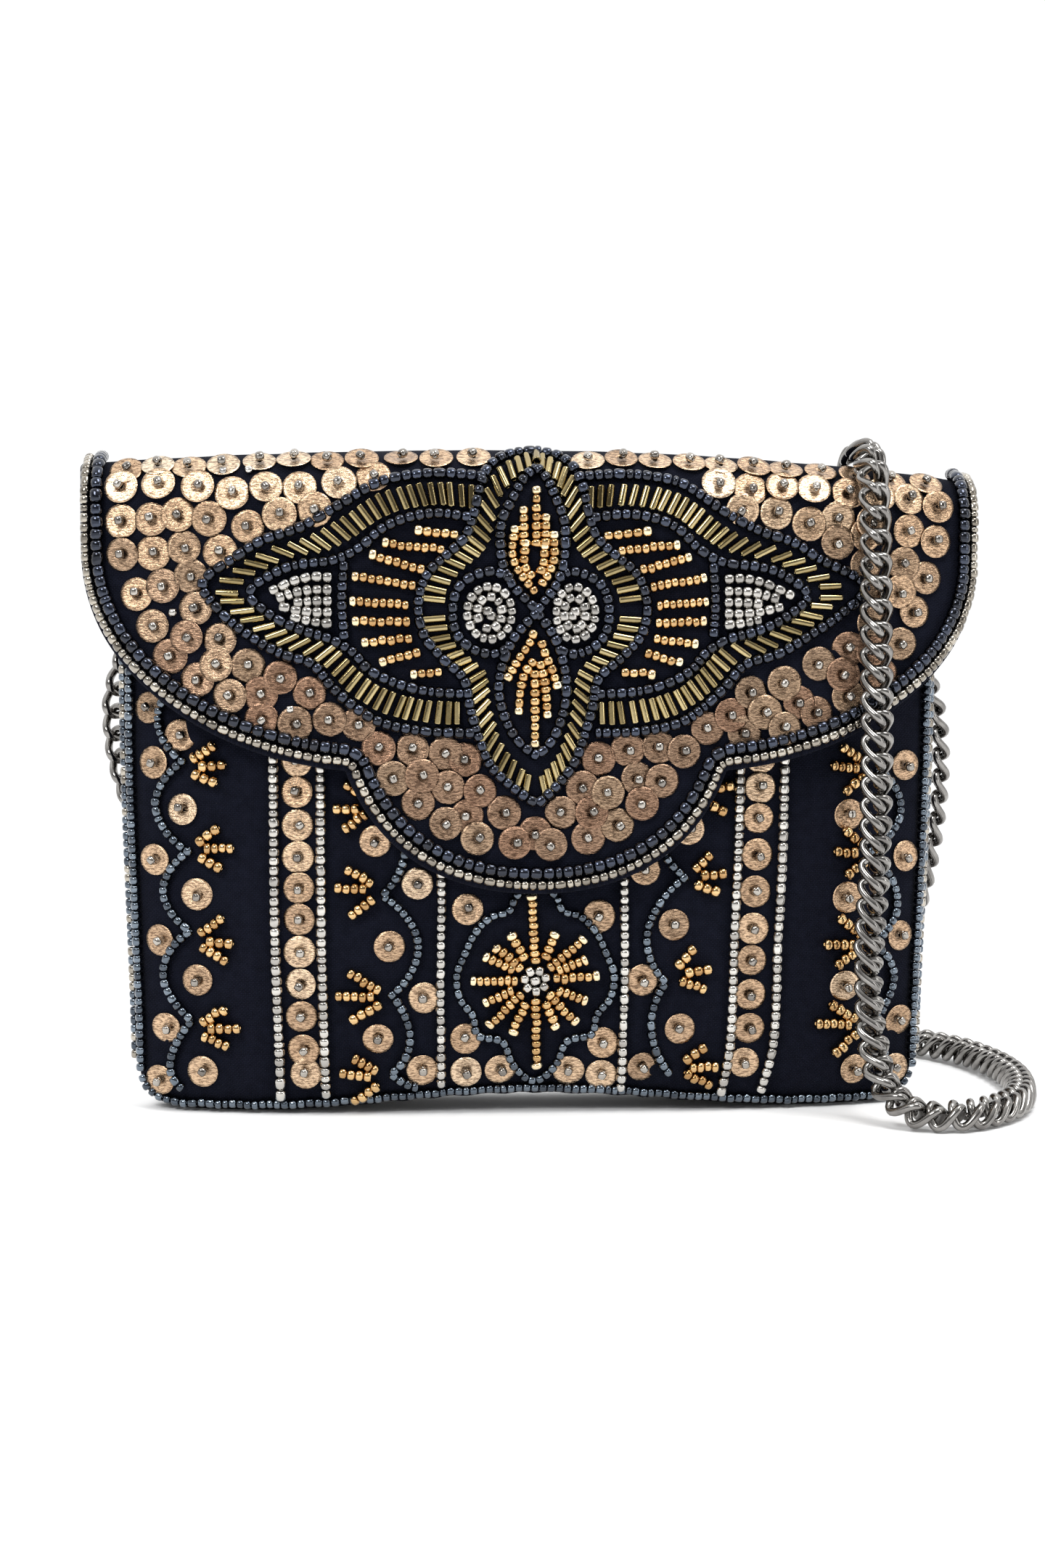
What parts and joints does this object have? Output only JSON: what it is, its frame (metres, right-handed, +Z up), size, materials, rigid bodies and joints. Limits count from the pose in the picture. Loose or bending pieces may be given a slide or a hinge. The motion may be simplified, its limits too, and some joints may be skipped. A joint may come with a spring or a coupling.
{
  "type": "clutch purse",
  "caption": "Envelope clutch with a scalloped bead-worked flap, a padded fabric body, a magnetic snap and a detachable chain strap.",
  "frame": {"origin": "on the surface the bag stands on, under the middle of the bag's box without the chain", "axes": "+Z up, the flap and the bead-worked front face -Y, +X to the right seen from the front"},
  "size_m": [0.2608, 0.1189, 0.1864],
  "materials": {
    "canvas_black": "fine plain-weave cotton canvas, blue-black, matt",
    "lining_black": "smooth satin lining, soft sheen",
    "padding": "thin needled wadding",
    "stiffener": "stiff pressed interlining",
    "beads_navy": "metallic dark navy glass seed beads",
    "beads_steel_blue": "metallic steel-blue glass seed beads",
    "beads_pewter": "pewter metallic glass seed beads",
    "beads_silver": "silver-lined glass seed beads",
    "beads_gold": "gold metallic glass seed and bugle beads",
    "sequins_bronze": "flat bronze sequins with a crinkled metallic film",
    "gunmetal": "polished gunmetal plating",
    "chain_gunmetal": "polished gunmetal plating on curb links",
    "nickel": "nickel-plated snap parts",
    "magnet_dark": "dark bonded magnet"
  },
  "bodies": {
    "bag": {"front_panel": "canvas_black", "back_panel": "canvas_black", "front_padding": "padding", "back_padding": "padding", "front_lining": "lining_black", "back_lining": "lining_black", "front_edge_beads": "beads_steel_blue", "seam_beads_left": "beads_pewter", "seam_beads_right": "beads_pewter", "ladder_beads_left_outer": "beads_silver", "ladder_beads_left_inner": "beads_silver", "ladder_beads_right_outer": "beads_silver", "ladder_beads_right_inner": "beads_silver", "star_column_left": "beads_silver", "star_column_right": "beads_silver", "vine_left_outer": "beads_steel_blue", "vine_left_inner": "beads_steel_blue", "vine_right_inner": "beads_steel_blue", "vine_right_outer": "beads_steel_blue", "panel_star": "beads_gold", "snap_socket": "nickel", "snap_magnet": "magnet_dark", "snap_socket_washer": "nickel", "ring_tab_left": "canvas_black", "ring_tab_right": "canvas_black", "clasp_eye_left": "gunmetal", "clasp_eye_right": "gunmetal", "chain_back_run": "chain_gunmetal", "chain_front_drape": "chain_gunmetal", "chain_floor_loop": "chain_gunmetal", "chain_right_run": "chain_gunmetal"},
    "fold": {"fold_cover": "canvas_black", "fold_board": "stiffener", "fold_lining": "lining_black"},
    "flap": {"flap_cover": "canvas_black", "flap_board": "stiffener", "flap_lining": "lining_black", "flap_edge_beads_outer": "beads_pewter", "flap_edge_beads_inner": "beads_navy", "flap_medallion": "beads_navy", "flap_sequins": "sequins_bronze", "snap_stud": "nickel", "snap_stud_washer": "nickel"},
    "ring_left": {"d_ring_left": "gunmetal"},
    "ring_right": {"d_ring_right": "gunmetal"},
    "clasp_left": {"clasp_hook_left": "gunmetal"},
    "clasp_right": {"clasp_hook_right": "gunmetal"},
    "gate_left": {"clasp_gate_left": "gunmetal"},
    "gate_right": {"clasp_gate_right": "gunmetal"}
  },
  "joints": [
    {"name": "flap_back_fold", "type": "hinge", "parent": "bag", "child": "fold", "pos_m": [0, 0.01158, 0.17595], "axis": [-1, 0, 0], "range_deg": [0, 90], "deforming": ["chain_back_run", "chain_front_drape", "chain_floor_loop", "chain_right_run"]},
    {"name": "flap_front_fold", "type": "hinge", "parent": "fold", "child": "flap", "pos_m": [0, -0.00971, 0.17273], "axis": [-1, 0, 0], "range_deg": [0, 90]},
    {"name": "ring_left_swing", "type": "hinge", "parent": "bag", "child": "ring_left", "pos_m": [-0.108, 0.01431, 0.161], "axis": [1, 0, 0], "range_deg": [-5, 2]},
    {"name": "ring_right_swing", "type": "hinge", "parent": "bag", "child": "ring_right", "pos_m": [0.108, 0.01431, 0.161], "axis": [1, 0, 0], "range_deg": [-5, 2]},
    {"name": "clasp_left_swivel", "type": "hinge", "parent": "bag", "child": "clasp_left", "pos_m": [-0.108, 0.01837, 0.135], "axis": [0, 0, 1], "range_deg": [-20, 20]},
    {"name": "clasp_right_swivel", "type": "hinge", "parent": "bag", "child": "clasp_right", "pos_m": [0.108, 0.01837, 0.135], "axis": [0, 0, 1], "range_deg": [-20, 20]},
    {"name": "gate_left_open", "type": "hinge", "parent": "clasp_left", "child": "gate_left", "pos_m": [-0.108, 0.02204, 0.14104], "axis": [1, 0, 0], "range_deg": [0, 20], "stiffness_Nm_per_rad": 0.01, "springref_deg": -8.59},
    {"name": "gate_right_open", "type": "hinge", "parent": "clasp_right", "child": "gate_right", "pos_m": [0.108, 0.02204, 0.14104], "axis": [1, 0, 0], "range_deg": [0, 20], "stiffness_Nm_per_rad": 0.01, "springref_deg": -8.59}
  ],
  "couplings": [
    {"joint": "flap_front_fold", "follows": "flap_back_fold", "ratio": 1}
  ]
}
